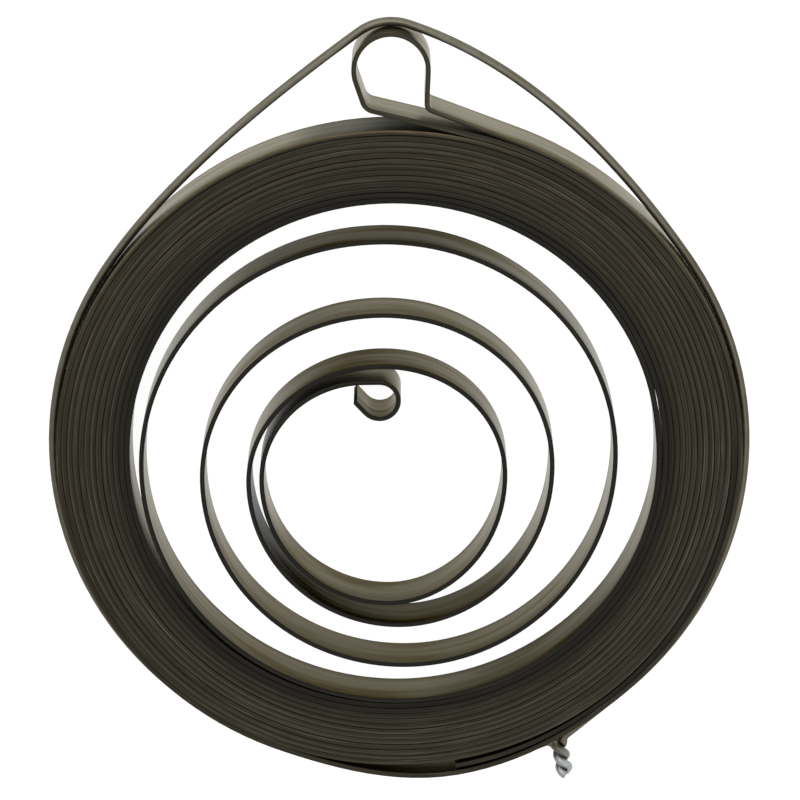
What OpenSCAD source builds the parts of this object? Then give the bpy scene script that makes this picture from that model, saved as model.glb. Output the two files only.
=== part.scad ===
// Recoil starter spring: one flat steel strip wound into a tight pack, with an open eye outside,
// loose turns and a curled hook inside, and a tie wire that keeps the pack wound.
// Millimetres. The spring lies flat: its axis is +Z, its lower edge is on z = 0, its eye points to +Y.
// Turn angles are in degrees, clockwise from +Y as seen from above, the way the strip winds inward.

/* [Pack] */
// Diameter over the wound pack, without the eye and the tie wire
pack_diameter = 70; // [55:1:110]
// Turns that lie close together, before the half turn that leaves the pack
pack_turns = 13; // [8:1:16]
// Free space between two turns of the pack
turn_gap = 0.105; // [0.06:0.005:0.2]

/* [Strip] */
// Width of the strip, along the axis
strip_width = 5.5; // [3:0.5:12]
// Thickness of the strip
strip_thickness = 0.48; // [0.3:0.02:0.6]

/* [Outer eye] */
// Diameter inside the eye
eye_bore = 6.9; // [6:0.1:8]
// Height of the eye's centre above the outermost turn
eye_rise = 5.1; // [4.8:0.1:6]
// Height of the eye's two lower corners above the outermost turn
neck_rise = 1.2; // [0.8:0.1:1.4]
// Distance of the corner where the strip turns up into the eye
heel_reach = 3.5; // [3.4:0.1:4.2]
// Distance of the corner where the tail turns back under the strip
toe_reach = 2.6; // [2.5:0.1:3.2]
// Bend radius of the heel corner, at mid thickness
heel_radius = 0.7; // [0.4:0.1:1]
// Bend radius of the toe corner, at mid thickness
toe_radius = 1.4; // [0.8:0.1:1.6]
// Turn angle where the tucked tail ends
tail_angle = 170; // [165:1:175]
// Free space round the tail's end, half of it to either side
tail_room = 0.6; // [0.2:0.1:0.8]
// Turn angle over which the outermost turn rises off the pack, and closes on it past the tail's end
closing_angle = 30; // [28:1:60]

/* [Loose turns] */
// Reach of the first loose turn at left, top, right and bottom, as a share of the pack's inner radius
first_turn_reach = [0.963, 0.851, 0.837, 0.851]; // [0.3:0.001:1]
// Reach of the second loose turn, in the same way
second_turn_reach = [0.733, 0.564, 0.597, 0.683]; // [0.3:0.001:1]
// Reach of the third loose turn, in the same way
third_turn_reach = [0.557, 0.361, 0.418, 0.593]; // [0.3:0.001:1]
// Reach of the run into the hook at left and at top, and the reach that it makes for at right
hook_run_reach = [0.507, 0.300, 0.156]; // [0.1:0.001:1]

/* [Inner hook] */
// Diameter inside the curl
hook_bore = 3.4; // [2.4:0.1:4]
// Angle of the curl
curl_angle = 228; // [180:1:250]
// Straight length before the curl
hook_lead = 1.5; // [0.5:0.1:2]
// Straight length after the curl
hook_tip = 1.5; // [0.5:0.1:2.4]

/* [Tie wire] */
// Diameter of the wire
wire_diameter = 0.9; // [0.6:0.1:1.2]
// Free space between the wire and the strip
wire_clearance = 0.06; // [0.05:0.01:0.1]
// How much wider than the eye the wire is bent over it
crown_slack = 1; // [0:0.1:2]
// Angle of the bend to the left of the eye's top
left_wrap_angle = 36; // [20:1:38]
// Angle of the bend to the right of the eye's top
right_wrap_angle = 19; // [15:1:38]
// Turn angle to either side where the wire meets the pack
hug_angle = 56; // [52:1:75]
// Turn angle of the twist's foot
twist_angle = 152.5; // [120:0.5:158]
// Lean of the twist away from the radial direction
lean_angle = 17; // [0:1:25]
// Height of the twist's foot above the wire's run round the pack
twist_standoff = 0.5; // [0.4:0.1:1]
// Length of the twisted ends
twist_length = 4.1; // [3.8:0.1:6]
// Turns of the twisted ends round each other
twist_turns = 1.25; // [0.5:0.25:1.25]

/* [Fineness] */
// Turn angle between two points of the pack and of the loose turns
facet_angle = 9; // [5, 6, 9, 10]
// Turn angle between two points of the eye and of the hook
curl_step = 12; // [6:1:15]
// Sides of the round wire
wire_sides = 10; // [8:2:16]
// Segments of one rounded corner
corner_segments = 6; // [4:1:10]

/* [Hidden] */
turn_pitch = strip_thickness + turn_gap;
pack_radius = (pack_diameter - strip_thickness) / 2;
outer_radius = pack_radius + turn_pitch;
pack_end = 360 * pack_turns + 180;
quarter = 90;
inner_radius = run_radius(pack_end);

eye_radius = (eye_bore + strip_thickness) / 2;
eye_centre = [0, outer_radius + eye_rise];
heel = [heel_reach, outer_radius + neck_rise];
toe = [-toe_reach, outer_radius + neck_rise];
heel_turn = eye_contact(heel, -1);
toe_turn = eye_contact(toe, 1);
strip_start = leaving_turn(heel, outer_radius);
tail_start = leaving_turn(toe, pack_radius);

loose_reach = concat(first_turn_reach, second_turn_reach, third_turn_reach, hook_run_reach);
reach_knots = concat([run_radius(pack_end - quarter), inner_radius], inner_radius * loose_reach);
loose_quarters = len(reach_knots) - 3;
loose_end = pack_end + quarter * loose_quarters;
hook_radius = (hook_bore + strip_thickness) / 2;
hook_start = loose_point(loose_quarters) + hook_lead * clockwise(loose_end);
hook_centre = hook_start - hook_radius * outward(loose_end);

wire_offset = strip_thickness / 2 + wire_clearance + wire_diameter / 2;
crown_radius = eye_radius + wire_offset + crown_slack;
crown_centre = eye_centre + [0, eye_radius + wire_offset - crown_radius];
bow_segments = 12;
touch_step = 1;
touch_range = 40;
twist_segments = 16;
twist_ramp = 0.25;
strand_radius = wire_diameter / 2 + wire_clearance / 2;
twist_axis = outward(twist_angle + lean_angle);
twist_across = clockwise(twist_angle + lean_angle);
twist_foot = (wire_radius(twist_angle) + twist_standoff) * outward(twist_angle);

// Directions and small vector helpers
function outward(turn) = [sin(turn), cos(turn)];
function clockwise(turn) = [cos(turn), -sin(turn)];
function turn_of(point) = atan2(point.x, point.y);
function unit(vector) = vector / norm(vector);
function rotated(vector, angle) = [
    vector.x * cos(angle) - vector.y * sin(angle),
    vector.x * sin(angle) + vector.y * cos(angle)
];
function reversed(list) = [for (i = [len(list) - 1:-1:0]) list[i]];
function eased(share) = let (part = min(max(share, 0), 1)) part * part * (3 - 2 * part);

// Turn angles from first to last, with every multiple of the step in between
function turns_between(first, last, step) = concat(
    [first],
    [for (turn = [step * (floor(first / step) + 1):step:last - step / 8]) turn],
    [last]
);

// Arc that rounds the corner of a bent line
function rounded_corner(before, corner, after, radius) =
    let (
        arriving = unit(corner - before),
        leaving = unit(after - corner),
        bend = atan2(cross(arriving, leaving), arriving * leaving),
        first = corner - arriving * radius * tan(abs(bend) / 2),
        centre = first + sign(bend) * radius * rotated(arriving, 90)
    )
    [for (i = [0:corner_segments]) centre + rotated(first - centre, bend * i / corner_segments)];

// Mid radius of the tail and of the strip: a spiral, on which the tail's end stands off a little and the
// outermost turn is lifted by one pitch and the tail's room until it has passed that end
function spiral_radius(turn) = pack_radius - turn_pitch * turn / 360;
function room_at(turn) = tail_room * eased(1 - (tail_angle - turn) / closing_angle);
function tail_radius(turn) = spiral_radius(turn) + room_at(turn) / 2;
function run_radius(turn) =
    spiral_radius(turn) + (turn_pitch + room_at(turn)) * (1 - eased((turn - tail_angle) / closing_angle));

// Turn angles where a line from a corner touches the eye, and the coil
function eye_contact(corner, side) =
    turn_of(corner - eye_centre) + side * acos(eye_radius / norm(corner - eye_centre));
function leaving_turn(corner, radius) = turn_of(corner) + acos(radius / norm(corner));
function eye_point(turn) = eye_centre + eye_radius * outward(turn);

// Loose strip: its reach runs smoothly through the quarter-turn knots, and the tangent lines bound it
function knot_curve(q, order) =
    let (
        i = min(floor(q), len(reach_knots) - 4),
        f = q - i,
        a = reach_knots[i],
        b = reach_knots[i + 1],
        c = reach_knots[i + 2],
        d = reach_knots[i + 3],
        linear = (c - a) / 2,
        square = a - 2.5 * b + 2 * c - d / 2,
        cube = (3 * b - a - 3 * c + d) / 2
    )
    order == 0 ? b + f * (linear + f * (square + f * cube)) : linear + f * (2 * square + f * 3 * cube);
function loose_point(q) =
    let (
        turn = pack_end + quarter * q,
        slide = knot_curve(q, 1) / (quarter * PI / 180)
    )
    knot_curve(q, 0) * outward(turn) + slide * clockwise(turn);

// The strip's centre line, from the tail's end to the hook's tip
tail_line = [
    for (turn = reversed(turns_between(tail_start, tail_angle, facet_angle)))
        tail_radius(turn) * outward(turn)
];
eye_line = concat(
    rounded_corner(tail_radius(tail_start) * outward(tail_start), toe, eye_point(toe_turn), toe_radius),
    [for (turn = turns_between(toe_turn, heel_turn, curl_step)) eye_point(turn)],
    rounded_corner(eye_point(heel_turn), heel, outer_radius * outward(strip_start), heel_radius)
);
pack_line = [
    for (turn = turns_between(strip_start, pack_end, facet_angle)) run_radius(turn) * outward(turn)
];
loose_line = [
    for (turn = [pack_end + facet_angle:facet_angle:loose_end]) loose_point((turn - pack_end) / quarter)
];
hook_line = concat(
    [
        for (turn = turns_between(loose_end, loose_end + curl_angle, curl_step))
            hook_centre + hook_radius * outward(turn)
    ],
    [
        hook_centre + hook_radius * outward(loose_end + curl_angle)
            + hook_tip * clockwise(loose_end + curl_angle)
    ]
);
strip_line = concat(tail_line, eye_line, pack_line, loose_line, hook_line);

// Direction of a line at one of its points, halfway between its two neighbouring pieces
function heading(line, i) =
    let (
        last = len(line) - 1,
        arriving = i > 0 ? unit(line[i] - line[i - 1]) : unit(line[1] - line[0]),
        leaving = i < last ? unit(line[i + 1] - line[i]) : arriving
    )
    unit(arriving + leaving);

// Points beside a flat line, at a distance to its left
function beside(line, distance) = [
    for (i = [0:len(line) - 1]) line[i] + distance * rotated(heading(line, i), 90)
];

// Run of the wire's centre line round the pack
function wire_radius(turn) = run_radius(turn) + wire_offset;
function wire_point(turn) = wire_radius(turn < 0 ? turn + 360 : turn) * outward(turn);
function wire_on_eye(turn) = crown_centre + crown_radius * outward(turn);
function wrap_angle(side) = side > 0 ? right_wrap_angle : left_wrap_angle;

// Bowed run of the wire from the eye to the pack, within its two end tangents
function wire_bow(side) =
    let (
        first = wire_on_eye(side * wrap_angle(side)),
        last = wire_point(side * hug_angle),
        first_normal = outward(side * wrap_angle(side)),
        last_normal = outward(side * hug_angle),
        first_height = first_normal * first,
        last_height = last_normal * last,
        middle = [
            first_height * last_normal.y - last_height * first_normal.y,
            first_normal.x * last_height - last_normal.x * first_height
        ] / cross(first_normal, last_normal)
    )
    [
        for (i = [1:bow_segments - 1])
            let (s = i / bow_segments)
                (1 - s) * (1 - s) * first + 2 * s * (1 - s) * middle + s * s * last
    ];

// Flat line lifted to the strip's mid width
function at_mid_width(line) = [for (point = line) [point.x, point.y, strip_width / 2]];

// One strand of the twist, which starts gently and then winds evenly
function twist_share(s) =
    (s < twist_ramp ? s * s / (2 * twist_ramp) : s - twist_ramp / 2) / (1 - twist_ramp / 2);
function strand(side) =
    [
        for (i = [1:twist_segments])
            let (
                s = i / twist_segments,
                angle = 360 * twist_turns * twist_share(s),
                flat = twist_foot + s * twist_length * twist_axis
                    - side * strand_radius * cos(angle) * twist_across
            )
                [flat.x, flat.y, strip_width / 2 - side * strand_radius * sin(angle)]
    ];

// Turn angle where a straight run from the twist's foot first touches the wire's run round the pack
function touching_turn(foot, side) =
    let (
        foot_turn = side > 0 ? turn_of(foot) : turn_of(foot) - 360,
        turns = [for (i = [touch_step:touch_step:touch_range]) foot_turn - side * i],
        leans = [for (turn = turns) acos(unit(wire_point(turn) - foot) * unit(foot))],
        least = min(leans)
    )
    [for (i = [0:len(turns) - 1]) if (leans[i] == least) turns[i]][0];

// One end of the wire, from the top of the eye to the tip of the twist
function wire_end(side) =
    let (
        foot = twist_foot - side * strand_radius * twist_across,
        last_turn = touching_turn(foot, side),
        crown_turns = turns_between(0, wrap_angle(side), facet_angle),
        hug_turns = turns_between(hug_angle, side * last_turn, facet_angle)
    )
    concat(
        at_mid_width([for (turn = crown_turns) wire_on_eye(side * turn)]),
        at_mid_width(wire_bow(side)),
        at_mid_width([for (turn = hug_turns) wire_point(side * turn)]),
        at_mid_width(rounded_corner(wire_point(last_turn), foot, foot + twist_axis, wire_diameter)),
        strand(side)
    );

wire_right = wire_end(1);
wire_left = wire_end(-1);
wire_line = concat(reversed(wire_left), [for (i = [1:len(wire_right) - 1]) wire_right[i]]);

// Round rod along a line in space
module rod(line, diameter, sides) {
    rings = [
        for (i = [0:len(line) - 1])
            let (
                along = heading(line, i),
                across = unit(cross(along, [0, 0, 1])),
                upward = cross(across, along)
            )
                for (k = [0:sides - 1])
                    let (angle = 360 * k / sides)
                        line[i] + diameter / 2 * (cos(angle) * across + sin(angle) * upward)
    ];
    last_ring = sides * (len(line) - 1);
    mantle = [
        for (i = [0:len(line) - 2])
            for (k = [0:sides - 1])
                let (next = (k + 1) % sides)
                    each [
                        [i * sides + k, i * sides + next, (i + 1) * sides + next],
                        [i * sides + k, (i + 1) * sides + next, (i + 1) * sides + k]
                    ]
    ];
    first_cap = [for (k = [sides - 1:-1:0]) k];
    last_cap = [for (k = [0:sides - 1]) last_ring + k];
    polyhedron(points = rings, faces = concat(mantle, [first_cap, last_cap]), convexity = 10);
}

// Strip: eye with tucked tail, pack, loose turns and hook in one piece
module spring_strip() {
    half = strip_thickness / 2;
    color([0.42, 0.40, 0.35])
        linear_extrude(height = strip_width, convexity = 20)
            polygon(concat(beside(strip_line, half), reversed(beside(strip_line, -half))));
}

// Tie wire: over the eye, round the pack, its two ends twisted together
module tie_wire() {
    color([0.60, 0.62, 0.62])
        rod(wire_line, wire_diameter, wire_sides);
}

spring_strip();
tie_wire();
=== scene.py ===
import math

import bpy
import numpy as np
from mathutils import Matrix, Vector


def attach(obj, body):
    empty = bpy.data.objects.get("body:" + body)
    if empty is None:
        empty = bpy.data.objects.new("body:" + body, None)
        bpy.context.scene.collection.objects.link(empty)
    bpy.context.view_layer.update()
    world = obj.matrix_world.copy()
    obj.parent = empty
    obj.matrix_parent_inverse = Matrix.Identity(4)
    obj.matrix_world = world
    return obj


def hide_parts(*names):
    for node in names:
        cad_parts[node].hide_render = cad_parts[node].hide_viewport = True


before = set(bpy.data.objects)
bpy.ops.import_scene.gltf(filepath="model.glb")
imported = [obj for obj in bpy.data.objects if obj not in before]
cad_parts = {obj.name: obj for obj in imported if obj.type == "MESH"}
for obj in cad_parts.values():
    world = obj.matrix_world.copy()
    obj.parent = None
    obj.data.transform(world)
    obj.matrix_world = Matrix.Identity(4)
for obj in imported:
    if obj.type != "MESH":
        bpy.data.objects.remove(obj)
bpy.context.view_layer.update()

MM = 0.001
FULL_TURN = 360.0
QUARTER = 90.0

# Sizes of the object in millimetres, degrees and turns, the same as in its solids
PACK_DIAMETER = 70.0
PACK_TURNS = 13
TURN_GAP = 0.105
STRIP_WIDTH = 5.5
STRIP_THICKNESS = 0.48
EYE_BORE = 6.9
EYE_RISE = 5.1
NECK_RISE = 1.2
HEEL_REACH = 3.5
TOE_REACH = 2.6
HEEL_RADIUS = 0.7
TOE_RADIUS = 1.4
TAIL_ANGLE = 170.0
TAIL_ROOM = 0.6
CLOSING_ANGLE = 30.0
HOOK_BORE = 3.4
CURL_ANGLE = 228.0
HOOK_LEAD = 1.5
HOOK_TIP = 1.5
WIRE_DIAMETER = 0.9
CROWN_SLACK = 1.0
LEFT_WRAP_ANGLE = 36.0
RIGHT_WRAP_ANGLE = 19.0
HUG_ANGLE = 56.0
TWIST_ANGLE = 152.5
LEAN_ANGLE = 17.0
TWIST_STANDOFF = 0.5
TWIST_LENGTH = 4.1
TWIST_TURNS = 1.25

# Share of the twist over which its winding gathers speed
TWIST_RAMP = 0.25

# Reach of the loose turns at each quarter turn, as a share of the reach where the pack ends
LOOSE_REACH = (
    0.963, 0.851, 0.837, 0.851,
    0.733, 0.564, 0.597, 0.683,
    0.557, 0.361, 0.418, 0.593,
    0.507, 0.300, 0.156,
)

# Fineness of the visible meshes, in degrees, millimetres and counts
PACK_STEP = 2.5
LEAST_STEP = PACK_STEP / 8
CURL_STEP = 5.0
CORNER_SEGMENTS = 14
EDGE_RADIUS = 0.06
EDGE_SEGMENTS = 3
FACE_ROWS = 4
WIRE_STEP = 2.5
WIRE_SIDES = 18
BOW_SEGMENTS = 30
TWIST_SEGMENTS = 60
TOUCH_STEP = 0.25
TOUCH_RANGE = 40.0

# Layout of the bake map, in shares of its width and of one row
MAP_MARGIN = 0.02
CAP_PLACES = (0.1, 0.3)

# Unevenness of the wound coil, in millimetres and degrees, and room between the wire and the strip
AXIAL_PLAY = 0.09
SHOWN_GAP = 0.02
SLACK_ROOM = 0.095
SLACK_BACK = 95.0
SLACK_SPREAD = 17.0
WIRE_CLEARANCE = 0.005

# Painted shade and highlight along the strip: runs and fades in millimetres, dark turns in turns,
# depths as shares
FADE_LENGTH = 15.0
SHORT_FADE = 7.0
HOOK_FADE = 11.0
DARK_TURNS = 5.2
DARK_FADE = 4.2
INNER_SHADE = 0.25
DARK_TAIL = 58.0
TAIL_SHADE = 0.3
RIM_START = 8.0
RIM_RISE = 18.0
RIM_HIGHLIGHT = 0.8
PACK_SHADE = 0.15
UNDER_NECK = 16.0
UNDER_NECK_SHADE = 0.36

# Painted shades on the strip's sides: first and last turn angle, depth and length of the fade.
# Contact shades lie under the wire and the neck; the others count from the end of the pack.
CONTACT_SHADES = (
    (57.0, 95.0, 0.55, SHORT_FADE),
    (258.0, 318.0, 0.55, SHORT_FADE),
    (338.0, 390.0, 0.36, SHORT_FADE),
    (351.0, 390.0, 0.22, SHORT_FADE),
)
OUTER_SHADES = (
    (117.0, 225.0, 0.33, FADE_LENGTH),
    (198.0, 266.0, 0.20, FADE_LENGTH),
    (472.0, 562.0, 0.20, FADE_LENGTH),
    (819.0, 954.0, 0.27, FADE_LENGTH),
    (1080.0, 1350.0, 0.48, HOOK_FADE),
)
INNER_SHADES = (
    (-81.0, 9.0, 0.24, FADE_LENGTH),
    (641.0, 891.0, 0.30, FADE_LENGTH),
    (711.0, 891.0, 0.20, FADE_LENGTH),
)

# Mean length in millimetres, and seed, of each random run along the strip
PLAY_RUN = (61.0, 5)
GAP_RUN = (37.0, 23)
TONE_RUN = (290.0, 8)
BURR_RUN = (83.0, 11)
TONE_CHANGE = 0.18

# Looks along the wire: runs in millimetres, painted shade on the pack and clean part of the twist as
# shares
FREE_RUN = 16.0
WIRE_FADE = 32.0
WIRE_HUG_SHADE = 0.25
CLEAN_SHARE = 0.55

# Floor, light and camera, in metres, watts and degrees
FLOOR_HALF = 3.0
FLOOR_COLOUR = (0.20, 0.20, 0.20, 1.0)
FLOOR_ROUGHNESS = 0.9
FLOOR_GLOW = 0.95
SKY_STRENGTH = 0.85
KEY_PLACE = (-0.30, 0.90, 1.20)
KEY_POWER = 7.0
FILL_PLACE = (0.90, -0.30, 1.10)
FILL_POWER = 4.0
SOFTBOX_SIZE = 1.60
VIEW_TILT = 18.8
VIEW_TURN = -0.51
VIEW_AIM = (0.000526, 0.006206, STRIP_WIDTH * MM)
CAMERA_DISTANCE = 0.405
FRAME_WIDTH = 0.08107
CLIP_START = 0.01

# Width of a full-frame sensor in millimetres
SENSOR_WIDTH = 36.0

TURN_PITCH = STRIP_THICKNESS + TURN_GAP
PACK_RADIUS = (PACK_DIAMETER - STRIP_THICKNESS) / 2
OUTER_RADIUS = PACK_RADIUS + TURN_PITCH
PACK_END = FULL_TURN * (PACK_TURNS + 0.5)


# Directions: turn angles are in degrees, clockwise from +Y as seen from above
def outward(turn):
    angle = np.radians(turn)
    return np.stack([np.sin(angle), np.cos(angle)], axis=-1)


def clockwise(turn):
    angle = np.radians(turn)
    return np.stack([np.cos(angle), -np.sin(angle)], axis=-1)


def turn_of(point):
    return math.degrees(math.atan2(point[0], point[1]))


def rotated(vector, degrees):
    angle = math.radians(degrees)
    return np.array([
        vector[0] * math.cos(angle) - vector[1] * math.sin(angle),
        vector[0] * math.sin(angle) + vector[1] * math.cos(angle),
    ])


def unit(vector):
    return vector / np.linalg.norm(vector)


# Lines and runs along them
def eased(share):
    part = np.clip(share, 0.0, 1.0)
    return part * part * (3.0 - 2.0 * part)


def steps(first, last, step):
    count = max(2, int(math.ceil(abs(last - first) / step)) + 1)
    return np.linspace(first, last, count)


def turns_between(first, last):
    """Both ends and the multiples of the pack's step between them, so that turns share corners."""
    low, high = sorted((first, last))
    inner = np.arange(math.ceil(low / PACK_STEP), math.ceil(high / PACK_STEP)) * PACK_STEP
    inner = inner[(inner > low + LEAST_STEP) & (inner < high - LEAST_STEP)]
    turns = np.concatenate([[low], inner, [high]])
    return turns if first < last else turns[::-1]


def rounded_corner(before, corner, after, radius):
    """Arc that rounds the corner between two straight runs."""
    arriving = unit(corner - before)
    leaving = unit(after - corner)
    sideways = arriving[0] * leaving[1] - arriving[1] * leaving[0]
    bend = math.degrees(math.atan2(sideways, float(arriving @ leaving)))
    first = corner - arriving * radius * math.tan(math.radians(abs(bend) / 2))
    centre = first + math.copysign(radius, bend) * rotated(arriving, QUARTER)
    bends = bend * np.arange(CORNER_SEGMENTS + 1) / CORNER_SEGMENTS
    return np.array([centre + rotated(first - centre, part) for part in bends])


def headings(line):
    """Mean of the directions in which a line arrives at and leaves each of its points."""
    pieces = np.diff(line, axis=0)
    pieces /= np.linalg.norm(pieces, axis=1, keepdims=True)
    arriving = np.vstack([pieces[:1], pieces])
    leaving = np.vstack([pieces, pieces[-1:]])
    both = arriving + leaving
    return both / np.linalg.norm(both, axis=1, keepdims=True)


def lengths_along(line):
    return np.concatenate([[0.0], np.cumsum(np.linalg.norm(np.diff(line, axis=0), axis=1))])


def wander(along, spacing, seed):
    """Smooth random run between -1 and 1, with one knot for each spacing."""
    draw = np.random.default_rng(seed)
    knots = draw.uniform(-1.0, 1.0, int(along[-1] / spacing) + 3)
    place = along / spacing
    low = place.astype(int)
    share = eased(place - low)
    return knots[low] * (1.0 - share) + knots[low + 1] * share


def stretch(along, first, last, fade=FADE_LENGTH):
    """1 between two lengths along a line, fading to 0 at both."""
    return eased((along - first) / fade) * eased((last - along) / fade)


# The strip's mid line
def spiral_radius(turn):
    return PACK_RADIUS - TURN_PITCH * np.asarray(turn) / FULL_TURN


def room_at(turn):
    """Extra room that the outermost turn leaves round the end of the tail."""
    return TAIL_ROOM * eased(1.0 - (TAIL_ANGLE - np.asarray(turn)) / CLOSING_ANGLE)


def run_radius(turn):
    """Radius of the wound strip, which closes onto the spiral past the end of the tail."""
    closed = eased((np.asarray(turn) - TAIL_ANGLE) / CLOSING_ANGLE)
    return spiral_radius(turn) + (TURN_PITCH + room_at(turn)) * (1.0 - closed)


eye_radius = (EYE_BORE + STRIP_THICKNESS) / 2
eye_centre = np.array([0.0, OUTER_RADIUS + EYE_RISE])
heel = np.array([HEEL_REACH, OUTER_RADIUS + NECK_RISE])
toe = np.array([-TOE_REACH, OUTER_RADIUS + NECK_RISE])


def eye_contact(corner, side):
    """Turn angle at which a straight run from a corner touches the eye."""
    arm = corner - eye_centre
    return turn_of(arm) + side * math.degrees(math.acos(eye_radius / np.linalg.norm(arm)))


def leaving_turn(corner, radius):
    """Turn angle at which a straight run to a corner leaves a circle round the axis."""
    return turn_of(corner) + math.degrees(math.acos(radius / np.linalg.norm(corner)))


def eye_point(turn):
    return eye_centre + eye_radius * outward(turn)


inner_radius = float(run_radius(PACK_END))
before_end = float(run_radius(PACK_END - QUARTER))
reach_knots = np.array([before_end, inner_radius] + [inner_radius * share for share in LOOSE_REACH])
loose_end = PACK_END + QUARTER * (len(reach_knots) - 3)


def loose_point(quarters):
    """Point of the loose turns, whose tangents lie at a reach that runs smoothly through the knots."""
    first = min(int(math.floor(quarters)), len(reach_knots) - 4)
    share = quarters - first
    before, here, after, beyond = reach_knots[first:first + 4]
    linear = (after - before) / 2
    square = before - 2.5 * here + 2 * after - beyond / 2
    cube = (3 * here - before - 3 * after + beyond) / 2
    reach = here + share * (linear + share * (square + share * cube))
    slide = (linear + share * (2 * square + share * 3 * cube)) / math.radians(QUARTER)
    turn = PACK_END + QUARTER * quarters
    return reach * outward(turn) + slide * clockwise(turn)


def tail_and_eye():
    """Tail from its cut end, and the eye between the two bends that lead to it and from it."""
    toe_turn = eye_contact(toe, 1)
    tail_turns = turns_between(TAIL_ANGLE, leaving_turn(toe, PACK_RADIUS))
    tail = (spiral_radius(tail_turns) + room_at(tail_turns) / 2)[:, None] * outward(tail_turns)
    toe_bend = rounded_corner(tail[-1], toe, eye_point(toe_turn), TOE_RADIUS)
    eye = eye_point(steps(toe_turn, eye_contact(heel, -1), CURL_STEP))
    coil_start = OUTER_RADIUS * outward(leaving_turn(heel, OUTER_RADIUS))
    heel_bend = rounded_corner(eye[-1], heel, coil_start, HEEL_RADIUS)
    return tail, np.vstack([toe_bend, eye, heel_bend])


def coil_and_hook():
    """Pack, loose turns and hook, and the turn angle of each of their points."""
    pack_turns = turns_between(leaving_turn(heel, OUTER_RADIUS), PACK_END)
    slack = SLACK_ROOM * eased(1.0 - np.abs(pack_turns - PACK_END + SLACK_BACK) / SLACK_SPREAD)
    pack = (run_radius(pack_turns) - slack)[:, None] * outward(pack_turns)
    loose_turns = steps(PACK_END + PACK_STEP, loose_end, PACK_STEP)
    loose = np.array([loose_point((turn - PACK_END) / QUARTER) for turn in loose_turns])
    hook_radius = (HOOK_BORE + STRIP_THICKNESS) / 2
    hook_start = loose[-1] + HOOK_LEAD * clockwise(loose_end)
    hook_centre = hook_start - hook_radius * outward(loose_end)
    hook_turns = steps(loose_end, loose_end + CURL_ANGLE, CURL_STEP)
    hook = hook_centre + hook_radius * outward(hook_turns)
    return np.vstack([pack, loose, hook]), np.concatenate([pack_turns, loose_turns, hook_turns])


tail_line, eye_line = tail_and_eye()
coil_line, coil_turns = coil_and_hook()
hook_tip = coil_line[-1] + HOOK_TIP * clockwise(coil_turns[-1])
strip_line = np.vstack([tail_line, eye_line, coil_line, hook_tip[None, :]])

# Places along the strip in millimetres, from the end of the tail
strip_along = lengths_along(strip_line)
coil_along = strip_along[len(tail_line) + len(eye_line):-1]
eye_start = strip_along[len(tail_line)]
pack_start = coil_along[0]
pack_end = np.interp(PACK_END, coil_turns, coil_along)
outer_turn = 2.0 * math.pi * OUTER_RADIUS
inner_turn = 2.0 * math.pi * inner_radius


# Meshes
def add_object(name, data):
    item = bpy.data.objects.new(name, data)
    bpy.context.scene.collection.objects.link(item)
    return item


def bake_map(mesh, along, section):
    """Lays a sweep out in rows, one above the other, so that baked maps keep its fine lines."""
    span = 1.0 - 2.0 * MAP_MARGIN
    rim = np.vstack([section[:, :2], section[:1, :2]])
    round_places = lengths_along(rim)
    rows = max(1, round(math.sqrt(along[-1] / round_places[-1])))
    row_length = along[-1] / rows
    quad_rows = np.minimum((along[:-1] + along[1:]) / 2 // row_length, rows - 1)
    starts = (along[:-1] - quad_rows * row_length) / row_length
    ends = (along[1:] - quad_rows * row_length) / row_length
    low = round_places[:-1] / round_places[-1]
    high = round_places[1:] / round_places[-1]
    across = np.stack([starts, starts, ends, ends], axis=-1)[:, None, :].repeat(len(section), axis=1)
    upward = np.stack([low, high, high, low], axis=-1)[None, :, :]
    upward = quad_rows[:, None, None] + MAP_MARGIN + span * upward
    cap = section[:, :2] / np.abs(section[:, :2]).max() / 2.0
    cap_rows = rows + 0.5 + span * cap[:, 1]
    cap_width = round_places[-1] / along[-1]
    caps = [np.column_stack([place + cap_width * cap[:, 0], cap_rows]) for place in CAP_PLACES]
    places = np.vstack([np.stack([across, upward], axis=-1).reshape(-1, 2), caps[0][::-1], caps[1]])
    places[:, 0] = MAP_MARGIN + span * places[:, 0]
    places[:, 1] /= rows + 1
    layer = mesh.uv_layers.new(name="OFBake")
    layer.data.foreach_set("uv", places.ravel())


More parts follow.
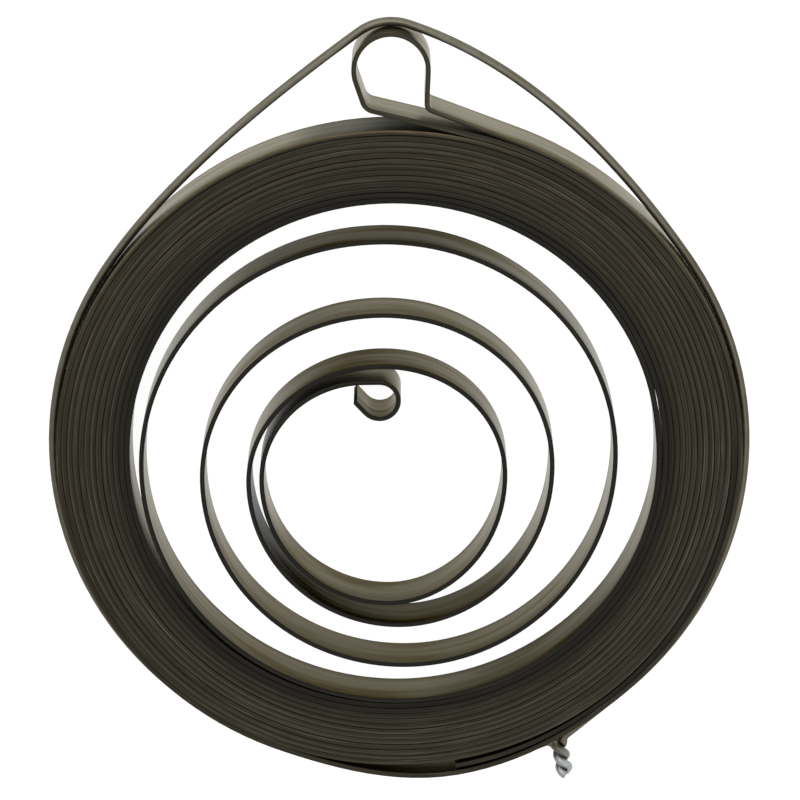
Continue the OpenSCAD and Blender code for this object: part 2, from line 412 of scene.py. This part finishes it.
def swept_mesh(name, centres, sides, ups, section, along, looks, swell=0.0):
    """Closed tube of one section along a line, with one swell and one set of looks for each vertex.

    A row of the section holds side, up, side normal, up normal and part.
    """
    rings = len(centres)
    count = len(section)
    places = (
        centres[:, None, :]
        + (section[None, :, 0] + swell)[:, :, None] * sides[:, None, :]
        + section[None, :, 1, None] * ups[:, None, :]
    )
    normals = (
        section[None, :, 2, None] * sides[:, None, :]
        + section[None, :, 3, None] * ups[:, None, :]
    )
    first = np.arange(rings - 1)[:, None] * count
    here = first + np.arange(count)
    beside = first + (np.arange(count) + 1) % count
    quads = np.stack([here, beside, beside + count, here + count], axis=-1).reshape(-1, 4)
    faces = [tuple(quad) for quad in quads.tolist()]
    faces.append(tuple(range(count - 1, -1, -1)))
    faces.append(tuple(range((rings - 1) * count, rings * count)))
    mesh = bpy.data.meshes.new(name)
    mesh.from_pydata((places.reshape(-1, 3) * MM).tolist(), [], faces)
    parts = section[:, 4].astype(int).tolist()
    mesh.polygons.foreach_set("material_index", parts * (rings - 1) + [max(parts)] * 2)
    mesh.polygons.foreach_set("use_smooth", [True] * len(quads) + [False] * 2)

    # Side and up added together run across broad sides and edges alike
    values = {
        "along": along[:, None] * MM,
        "across": (section[:, 0] + section[:, 1]) * MM,
        **looks,
    }
    for label, numbers in values.items():
        layer = mesh.attributes.new(label, "FLOAT", "POINT")
        grid = np.broadcast_to(numbers, (rings, count))
        layer.data.foreach_set("value", grid.ravel().astype(np.float32))
    bake_map(mesh, along, section)
    mesh.normals_split_custom_set_from_vertices(normals.reshape(-1, 3).tolist())
    mesh.update()
    return add_object(name, mesh)


def strip_section():
    """Rounded rectangle, anticlockwise; part 0 is a broad side and part 1 an edge."""
    half = STRIP_THICKNESS / 2
    side_reach = half - EDGE_RADIUS
    up_reach = STRIP_WIDTH / 2 - EDGE_RADIUS
    rows = []
    for direction in (1.0, -1.0):
        start = QUARTER * (1.0 - direction)
        for side, corner in ((direction, start), (-direction, start + QUARTER)):
            for i in range(EDGE_SEGMENTS + 1):
                angle = math.radians(corner + QUARTER * i / EDGE_SEGMENTS)
                across = math.cos(angle)
                upward = math.sin(angle)
                rows.append([
                    side * side_reach + EDGE_RADIUS * across,
                    direction * up_reach + EDGE_RADIUS * upward,
                    across,
                    upward,
                    1,
                ])

        # A broad side starts at the last point of the corner before it
        rows[-1][-1] = 0
        for i in range(1, FACE_ROWS):
            up = direction * up_reach * (1.0 - 2.0 * i / FACE_ROWS)
            rows.append([-direction * half, up, -direction, 0.0, 0])
    return np.array(rows)


def touch_swell(on_left, height):
    """Swelling by which turns of the pack touch at mid width and leave an uneven gap at their edges."""
    free_tail = math.radians(CLOSING_ANGLE) * PACK_RADIUS
    tucked = stretch(strip_along, free_tail, eye_start)
    left_touch = tucked + stretch(strip_along, pack_start + outer_turn, pack_end)
    right_touch = tucked + stretch(strip_along, pack_start, pack_end)
    touch = np.where(on_left, left_touch[:, None], -right_touch[:, None])
    shown_gap = SHOWN_GAP * (1.0 + wander(strip_along, *GAP_RUN))
    return touch * (TURN_GAP - shown_gap[:, None] * (2.0 * height) ** 2) / 2


def side_shades():
    """Depth of painted shade on both sides: on the tail, in the pack, under the neck and by the tables.
    """
    on_tail = 1.0 - eased((strip_along - eye_start + 2.0 * FADE_LENGTH) / FADE_LENGTH)
    left = PACK_SHADE * (on_tail + stretch(strip_along, pack_start + outer_turn, pack_end))
    right = PACK_SHADE * (on_tail + stretch(strip_along, pack_start, pack_end - inner_turn))
    right += UNDER_NECK_SHADE * stretch(strip_along, eye_start - UNDER_NECK, eye_start, SHORT_FADE)
    tables = (
        (left, 0.0, CONTACT_SHADES),
        (left, PACK_END, OUTER_SHADES),
        (right, PACK_END, INNER_SHADES),
    )
    for deep, start, shades in tables:
        for first_turn, last_turn, depth, fade in shades:
            first, last = np.interp([start + first_turn, start + last_turn], coil_turns, coil_along)
            deep += depth * stretch(strip_along, first, last, fade)
    return left, right


def edge_shade_and_tone():
    """Edge tone with painted shade toward the loose turns and by the tail's end, and the painted rim
    highlight.
    """
    dark_start = pack_end - DARK_TURNS * inner_turn
    shade_and_tone = 1.0 - (1.0 - INNER_SHADE) * eased((strip_along - dark_start) / (DARK_FADE * inner_turn))
    shade_and_tone *= 1.0 + TONE_CHANGE * wander(strip_along, *TONE_RUN)
    shade_and_tone *= 1.0 - (1.0 - TAIL_SHADE) * stretch(strip_along, 0.0, DARK_TAIL)
    outermost = RIM_HIGHLIGHT * stretch(strip_along, pack_start - FADE_LENGTH, pack_start + outer_turn)
    outermost *= eased((strip_line[:, 1] - RIM_START) / RIM_RISE)
    return shade_and_tone, outermost


def build_strip():
    heading = headings(strip_line)
    mid_heights = STRIP_WIDTH / 2 + AXIAL_PLAY * wander(strip_along, *PLAY_RUN)
    centres = np.column_stack([strip_line, mid_heights])
    sides = np.column_stack([-heading[:, 1], heading[:, 0], np.zeros(len(heading))])
    ups = np.tile([0.0, 0.0, 1.0], (len(heading), 1))
    section = strip_section()

    # The coil winds clockwise, so its left side faces outward
    on_left = section[:, 0] > 0.0
    height = section[:, 1] / STRIP_WIDTH
    swell = touch_swell(on_left, height)

    # Painted light: the eye and the outer face of the turn round the outside of the pack are the
    # brightest
    left_light = 1.0 - eased((strip_along - pack_start - outer_turn) / outer_turn)
    right_light = 1.0 - eased((strip_along - pack_start) / FADE_LENGTH)
    left_shade, right_shade = side_shades()
    shade_and_tone, outermost = edge_shade_and_tone()
    burr = 0.5 + 0.5 * wander(strip_along, *BURR_RUN)
    # The looks carry painted shade and light: darker edges toward the inner turns and on the tail, a
    # painted rim highlight, and painted light and shade on the broad sides
    looks = {
        "shade_and_tone": shade_and_tone[:, None],
        "outermost": outermost[:, None],
        "burr": burr[:, None],
        "rim": 0.5 + section[:, 0] / STRIP_THICKNESS,
        "painted_light": np.where(on_left, left_light[:, None], right_light[:, None]),
        "depth": np.where(on_left, left_shade[:, None], right_shade[:, None]),
        "height": 0.5 + height,
    }
    return swept_mesh("strip", centres, sides, ups, section, strip_along, looks, swell)


# The tie wire's mid line
wire_offset = STRIP_THICKNESS / 2 + WIRE_CLEARANCE + WIRE_DIAMETER / 2
strand_radius = WIRE_DIAMETER / 2 + WIRE_CLEARANCE / 2
crown_radius = eye_radius + wire_offset + CROWN_SLACK
crown_centre = eye_centre + np.array([0.0, -CROWN_SLACK])


def wire_point(turn):
    radius = run_radius(np.mod(turn, FULL_TURN)) + wire_offset
    return radius[..., None] * outward(turn)


twist_foot = wire_point(TWIST_ANGLE) + TWIST_STANDOFF * outward(TWIST_ANGLE)
twist_axis = outward(TWIST_ANGLE + LEAN_ANGLE)
twist_across = clockwise(TWIST_ANGLE + LEAN_ANGLE)


def wire_on_eye(turn):
    return crown_centre + crown_radius * outward(turn)


def wrap_angle(side):
    return RIGHT_WRAP_ANGLE if side > 0 else LEFT_WRAP_ANGLE


def wire_bow(side):
    """Curve from the eye down to the pack, along the tangents at both of its ends."""
    first = wire_on_eye(side * wrap_angle(side))
    last = wire_point(side * HUG_ANGLE)
    first_normal = outward(side * wrap_angle(side))
    last_normal = outward(side * HUG_ANGLE)
    first_height = float(first_normal @ first)
    last_height = float(last_normal @ last)
    middle = np.array([
        first_height * last_normal[1] - last_height * first_normal[1],
        first_normal[0] * last_height - last_normal[0] * first_height,
    ]) / (first_normal[0] * last_normal[1] - first_normal[1] * last_normal[0])
    share = (np.arange(1, BOW_SEGMENTS) / BOW_SEGMENTS)[:, None]
    return (1 - share) ** 2 * first + 2 * share * (1 - share) * middle + share ** 2 * last


def strand(side):
    """One strand of the twist, which starts gently and then winds evenly."""
    share = np.arange(1, TWIST_SEGMENTS + 1) / TWIST_SEGMENTS
    slow = share * share / (2 * TWIST_RAMP)
    fast = share - TWIST_RAMP / 2
    wound = np.where(share < TWIST_RAMP, slow, fast) / (1 - TWIST_RAMP / 2)
    angle = 2 * math.pi * TWIST_TURNS * wound
    flat = (
        twist_foot
        + (share * TWIST_LENGTH)[:, None] * twist_axis
        - (side * strand_radius * np.cos(angle))[:, None] * twist_across
    )
    return np.column_stack([flat, STRIP_WIDTH / 2 - side * strand_radius * np.sin(angle)])


def at_mid_width(line):
    return np.column_stack([line, np.full(len(line), STRIP_WIDTH / 2)])


def touching_turn(foot, side):
    """Turn angle where a straight run from the twist's foot first touches the run round the pack."""
    foot_turn = turn_of(foot) if side > 0 else turn_of(foot) - FULL_TURN
    turns = foot_turn - side * np.arange(TOUCH_STEP, TOUCH_RANGE, TOUCH_STEP)
    runs = wire_point(turns) - foot
    leans = (runs @ foot) / np.linalg.norm(runs, axis=1)
    return float(turns[np.argmax(leans)])


def wire_end(side):
    """Half of the wire, from the crown of the eye to the tip of its strand."""
    foot = twist_foot - side * strand_radius * twist_across
    last_turn = touching_turn(foot, side)
    bend = rounded_corner(wire_point(last_turn), foot, foot + twist_axis, WIRE_DIAMETER)
    return np.vstack([
        at_mid_width(wire_on_eye(steps(0.0, side * wrap_angle(side), WIRE_STEP))),
        at_mid_width(wire_bow(side)),
        at_mid_width(wire_point(turns_between(side * HUG_ANGLE, last_turn))),
        at_mid_width(bend),
        strand(side),
    ])


def wire_section():
    angles = 2 * math.pi * np.arange(WIRE_SIDES) / WIRE_SIDES
    normals = np.column_stack([np.cos(angles), np.sin(angles)])
    return np.column_stack([normals * WIRE_DIAMETER / 2, normals, np.zeros(WIRE_SIDES)])


def build_wire():
    right = wire_end(1)
    left = wire_end(-1)
    line = np.vstack([left[::-1], right[1:]])
    along = lengths_along(line)
    heading = headings(line)
    sides = np.cross([0.0, 0.0, 1.0], heading)
    sides /= np.linalg.norm(sides, axis=1, keepdims=True)
    ups = np.cross(heading, sides)

    # The wire is lighter over the eye and darker, as painted shade, where it lies on the pack; clean
    # zinc shows at its cut ends
    from_crown = np.abs(along - along[len(left) - 1])
    from_end = np.minimum(along, along[-1] - along)
    free_run = 1.0 - eased((from_crown - FREE_RUN) / WIRE_FADE)
    clean_length = CLEAN_SHARE * TWIST_LENGTH
    clean_end = 1.0 - eased((from_end - clean_length) / clean_length)
    looks = {
        "shade_and_tone": (WIRE_HUG_SHADE + (1.0 - WIRE_HUG_SHADE) * free_run)[:, None],
        "clean": clean_end[:, None],
    }
    return swept_mesh("wire", line, sides, ups, wire_section(), along, looks)


# Colours of the materials: each ramp lists places from 0 to 1 and their colours
WHITE = (1.0, 1.0, 1.0)
BLACK = (0.0, 0.0, 0.0)
# Lit and shaded copies of the broad sides' steel, which painted light mixes
SHADED_STEEL = (
    (0.30, (0.060, 0.050, 0.031)),
    (0.50, (0.075, 0.063, 0.041)),
    (0.72, (0.097, 0.083, 0.058)),
)
LIT_STEEL = (
    (0.30, (0.130, 0.114, 0.080)),
    (0.50, (0.170, 0.152, 0.113)),
    (0.72, (0.228, 0.206, 0.160)),
)
GRAZING_STEEL = (
    (0.34, (0.69, 0.67, 0.59)),
    (0.50, (0.82, 0.80, 0.72)),
    (0.66, (0.92, 0.91, 0.84)),
)
OIL_STAIN = (
    (0.33, (0.80, 0.78, 0.75)),
    (0.50, WHITE),
    (0.70, (0.95, 0.98, 0.98)),
)
# Painted shade, darker toward the top and the bottom of the broad sides
HEIGHT_SHADE = (
    (0.02, (0.80, 0.80, 0.79)),
    (0.16, WHITE),
    (0.60, (0.95, 0.95, 0.94)),
    (0.98, (0.74, 0.735, 0.72)),
)
# Painted shade, darker with its depth
SHADE = (
    (0.10, WHITE),
    (0.50, (0.53, 0.545, 0.60)),
    (0.90, (0.07, 0.072, 0.08)),
)
# Dark edge colour, picked by the edge tone together with its painted shade
DARK_EDGE = (
    (0.15, (0.0165, 0.0160, 0.0145)),
    (0.85, (0.0210, 0.0190, 0.0135)),
)
# Lighter edge colour where the worn lines and the painted highlight of the burr ridge lie
WORN_AND_LIT_EDGE = (
    (0.35, (0.092, 0.077, 0.050)),
    (0.65, (0.077, 0.075, 0.054)),
)
GLINT_EDGE = (
    (0.35, (0.165, 0.145, 0.100)),
    (0.65, (0.150, 0.150, 0.120)),
)
# Painted highlight on the lit rim of the first turn's edge
LIT_RIM_EDGE = (
    (0.35, (0.120, 0.096, 0.050)),
    (0.65, (0.180, 0.148, 0.085)),
)
# Shaded and lit copies of the wire's zinc, which painted shade mixes
SHADED_ZINC = (
    (0.30, (0.085, 0.079, 0.060)),
    (0.70, (0.140, 0.131, 0.103)),
)
LIT_ZINC = (
    (0.30, (0.140, 0.131, 0.100)),
    (0.70, (0.228, 0.215, 0.175)),
)
CLEAN_ZINC = (
    (0.30, (0.250, 0.260, 0.260)),
    (0.70, (0.420, 0.435, 0.435)),
)
ZINC_SPOT = (
    (0.40, (0.80, 0.77, 0.68)),
    (0.62, WHITE),
)
GRAZING_EDGE = (0.60, 0.57, 0.48, 1.0)
GRAZING_ZINC = (0.70, 0.69, 0.66, 1.0)

# Places where looks start and stop over an edge: the burr ridge with its painted highlight, the painted
# highlight of the lit rim, and the painted glints
RIDGE_HIGHLIGHT = ((0.35, BLACK), (0.62, WHITE), (0.80, WHITE), (0.95, BLACK))
LIT_RIM = ((0.45, BLACK), (0.80, WHITE))
GLINT = ((0.58, BLACK), (0.76, WHITE))

# Shares in which looks are laid over each other
HEIGHT_SHADE_SHARE = 0.9
BAND_SHARE = 0.55
RIDGE_HIGHLIGHT_SHARE = 0.45
GLINT_SHARE = 0.6
SPOT_SHARE = 0.6

# Fine relief of the surfaces: its depth in millimetres and its strength
STEEL_RELIEF = 0.01
ZINC_RELIEF = 0.02
RELIEF_STRENGTH = 0.2


class Nodes:
    """Short calls for the node tree of one material."""

    def __init__(self, name):
        self.material = bpy.data.materials.new(name)
        self.material.use_nodes = True
        self.tree = self.material.node_tree
        self.shader = self.tree.nodes["Principled BSDF"]

    def add(self, kind, **settings):
        node = self.tree.nodes.new(kind)
        for key, value in settings.items():
            setattr(node, key, value)
        return node

    def feed(self, socket, value):
        """Sets a socket to a number or colour, or links another socket to it."""
        if isinstance(value, (float, tuple)):
            socket.default_value = value
        else:
            self.tree.links.new(value, socket)

    def surface(self, values):
        """Feeds the shader's sockets by name."""
        for name, value in values.items():
            self.feed(self.shader.inputs[name], value)

    def attribute(self, name):
        return self.add("ShaderNodeAttribute", attribute_name=name).outputs["Fac"]

    def math(self, operation, first, second):
        node = self.add("ShaderNodeMath", operation=operation)
        self.feed(node.inputs[0], first)
        self.feed(node.inputs[1], second)
        return node.outputs[0]

    def product(self, first, *others):
        result = first
        for other in others:
            result = self.math("MULTIPLY", result, other)
        return result

    def noise(self, along, across, detail, roughness=0.5):
        """Noise with a number of cells for each metre along and across a swept piece."""
        place = self.add("ShaderNodeCombineXYZ")
        self.feed(place.inputs["X"], self.product(self.attribute("along"), along))
        self.feed(place.inputs["Y"], self.product(self.attribute("across"), across))
        texture = self.add("ShaderNodeTexNoise")
        self.feed(texture.inputs["Scale"], 1.0)
        self.feed(texture.inputs["Detail"], detail)
        self.feed(texture.inputs["Roughness"], roughness)
        self.feed(texture.inputs["Vector"], place.outputs[0])
        return texture.outputs["Fac"]

    def ramp(self, value, stops):
        node = self.add("ShaderNodeValToRGB")
        elements = node.color_ramp.elements
        while len(elements) < len(stops):
            elements.new(0.5)
        for element, (place, colour) in zip(elements, stops):
            element.position = place
            element.color = (*colour, 1.0)
        self.feed(node.inputs["Fac"], value)
        return node.outputs["Color"]

    def spread(self, value, low, high):
        node = self.add("ShaderNodeMapRange")
        self.feed(node.inputs["To Min"], low)
        self.feed(node.inputs["To Max"], high)
        self.feed(node.inputs["Value"], value)
        return node.outputs[0]

    def mix(self, share, first, second, blend="MIX"):
        node = self.add("ShaderNodeMix", data_type="RGBA", blend_type=blend)
        self.feed(node.inputs["Factor"], share)
        self.feed(node.inputs["A"], first)
        self.feed(node.inputs["B"], second)
        return node.outputs["Result"]

    def tinted(self, colour, tint, share=1.0):
        return self.mix(share, colour, tint, "MULTIPLY")

    def relief(self, height, depth):
        node = self.add("ShaderNodeBump")
        self.feed(node.inputs["Distance"], depth * MM)
        self.feed(node.inputs["Strength"], RELIEF_STRENGTH)
        self.feed(node.inputs["Height"], height)
        return node.outputs["Normal"]


def broad_side_material():
    nodes = Nodes("rolled_steel")
    streaks = nodes.noise(along=28.0, across=5200.0, detail=4.0, roughness=0.6)
    bands = nodes.noise(along=16.0, across=900.0, detail=2.0)
    stains = nodes.noise(along=55.0, across=330.0, detail=3.0)
    # Painted light: lit steel on the eye and the first turn of the pack, shaded steel elsewhere
    shaded = nodes.ramp(streaks, SHADED_STEEL)
    lit = nodes.ramp(streaks, LIT_STEEL)
    base = nodes.mix(nodes.attribute("painted_light"), shaded, lit)
    stain = nodes.ramp(stains, OIL_STAIN)
    # Painted shade by height and by depth darkens the broad sides over their oil stains
    height_shade = nodes.ramp(nodes.attribute("height"), HEIGHT_SHADE)
    shade = nodes.ramp(nodes.attribute("depth"), SHADE)
    marks_and_painted_light = nodes.tinted(nodes.tinted(stain, height_shade, HEIGHT_SHADE_SHARE), shade)
    grazing = nodes.ramp(nodes.mix(BAND_SHARE, streaks, bands), GRAZING_STEEL)
    nodes.surface({
        "Base Color": nodes.tinted(base, marks_and_painted_light),
        "Specular Tint": nodes.tinted(grazing, marks_and_painted_light),
        "Roughness": nodes.spread(streaks, low=0.18, high=0.30),
        "Metallic": 1.0,
        "Normal": nodes.relief(streaks, STEEL_RELIEF),
    })
    return nodes.material


def edge_material():
    nodes = Nodes("sheared_edge")
    lines = nodes.noise(along=24.0, across=7500.0, detail=3.0, roughness=0.6)
    grain = nodes.noise(along=700.0, across=5200.0, detail=3.0, roughness=0.6)
    dashes = nodes.noise(along=120.0, across=8200.0, detail=2.0)
    hue = nodes.noise(along=9.0, across=0.0, detail=2.0)
    # Painted shade, with a random tone, darkens the edges
    shade_and_tone = nodes.attribute("shade_and_tone")
    rim = nodes.attribute("rim")
    # A painted highlight lies on the burr ridge near the outer side of each edge
    ridge_highlight = nodes.product(nodes.ramp(rim, RIDGE_HIGHLIGHT), nodes.attribute("burr"), RIDGE_HIGHLIGHT_SHARE)
    marks_and_painted_light = nodes.math("ADD", ridge_highlight, nodes.spread(lines, low=-0.34, high=0.80))
    marks_and_painted_light = nodes.product(marks_and_painted_light, nodes.spread(grain, low=0.55, high=1.45), shade_and_tone)
    glint = nodes.product(nodes.ramp(dashes, GLINT), shade_and_tone, GLINT_SHARE)
    # Painted highlight along the outer rim of the first turn, growing toward the eye's side of the coil
    lit_rim = nodes.product(nodes.ramp(rim, LIT_RIM), nodes.attribute("outermost"))
    base = nodes.mix(marks_and_painted_light, nodes.ramp(shade_and_tone, DARK_EDGE), nodes.ramp(hue, WORN_AND_LIT_EDGE))
    base = nodes.mix(glint, base, nodes.ramp(hue, GLINT_EDGE))
    nodes.surface({
        "Base Color": nodes.mix(lit_rim, base, nodes.ramp(grain, LIT_RIM_EDGE)),
        "Specular Tint": GRAZING_EDGE,
        "Roughness": nodes.spread(grain, low=0.46, high=0.64),
        "Metallic": 1.0,
        "Normal": nodes.relief(grain, STEEL_RELIEF),
    })
    return nodes.material


def wire_material():
    nodes = Nodes("galvanised_wire")
    drawn = nodes.noise(along=60.0, across=3800.0, detail=3.0, roughness=0.55)
    spots = nodes.noise(along=900.0, across=900.0, detail=2.0)
    # Painted shade: shaded zinc where the wire lies on the pack, lit zinc over the eye
    base = nodes.mix(nodes.attribute("shade_and_tone"), nodes.ramp(drawn, SHADED_ZINC), nodes.ramp(drawn, LIT_ZINC))
    base = nodes.tinted(base, nodes.ramp(spots, ZINC_SPOT), SPOT_SHARE)
    nodes.surface({
        "Base Color": nodes.mix(nodes.attribute("clean"), base, nodes.ramp(drawn, CLEAN_ZINC)),
        "Specular Tint": GRAZING_ZINC,
        "Roughness": nodes.spread(spots, low=0.30, high=0.48),
        "Metallic": 1.0,
        "Normal": nodes.relief(spots, ZINC_RELIEF),
    })
    return nodes.material


def floor_material():
    nodes = Nodes("pale_floor")
    nodes.surface({
        "Base Color": FLOOR_COLOUR,
        "Roughness": FLOOR_ROUGHNESS,
        "Specular IOR Level": 0.0,
        "Emission Color": (*WHITE, 1.0),
        "Emission Strength": FLOOR_GLOW,
    })
    return nodes.material


# Floor, light and camera
def build_floor():
    height = -AXIAL_PLAY * MM
    signs = ((-1, -1), (1, -1), (1, 1), (-1, 1))
    corners = [(x * FLOOR_HALF, y * FLOOR_HALF, height) for x, y in signs]
    mesh = bpy.data.meshes.new("floor")
    mesh.from_pydata(corners, [], [(0, 1, 2, 3)])
    mesh.materials.append(floor_material())
    return add_object("floor", mesh)


def build_sky():
    world = bpy.data.worlds.new("studio")
    world.use_nodes = True
    sky = world.node_tree.nodes["Background"]
    sky.inputs["Color"].default_value = (*WHITE, 1.0)
    sky.inputs["Strength"].default_value = SKY_STRENGTH
    return world


def add_softbox(name, place, power):
    light = bpy.data.lights.new(name, "AREA")
    light.shape = "SQUARE"
    light.size = SOFTBOX_SIZE
    light.energy = power
    lamp = add_object(name, light)
    lamp.location = place
    lamp.rotation_euler = (-Vector(place)).to_track_quat("-Z", "Y").to_euler()


def build_camera():
    lens = bpy.data.cameras.new("camera")
    lens.sensor_width = SENSOR_WIDTH
    lens.lens = SENSOR_WIDTH * CAMERA_DISTANCE / FRAME_WIDTH
    lens.clip_start = CLIP_START
    camera = add_object("camera", lens)
    camera.matrix_world = (
        Matrix.Rotation(math.radians(VIEW_TURN), 4, "Z")
        @ Matrix.Translation(VIEW_AIM)
        @ Matrix.Rotation(-math.radians(VIEW_TILT), 4, "X")
        @ Matrix.Translation((0.0, 0.0, CAMERA_DISTANCE))
    )
    return camera


# The object on its stage
strip = build_strip()
strip.data.materials.append(broad_side_material())
strip.data.materials.append(edge_material())
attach(strip, "root")
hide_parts("spring_strip")

wire = build_wire()
wire.data.materials.append(wire_material())
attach(wire, "root")
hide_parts("tie_wire")

floor = build_floor()
add_softbox("key", KEY_PLACE, KEY_POWER)
add_softbox("fill", FILL_PLACE, FILL_POWER)
bpy.context.scene.world = build_sky()
bpy.context.scene.camera = build_camera()
bpy.context.scene.view_settings.view_transform = "Standard"
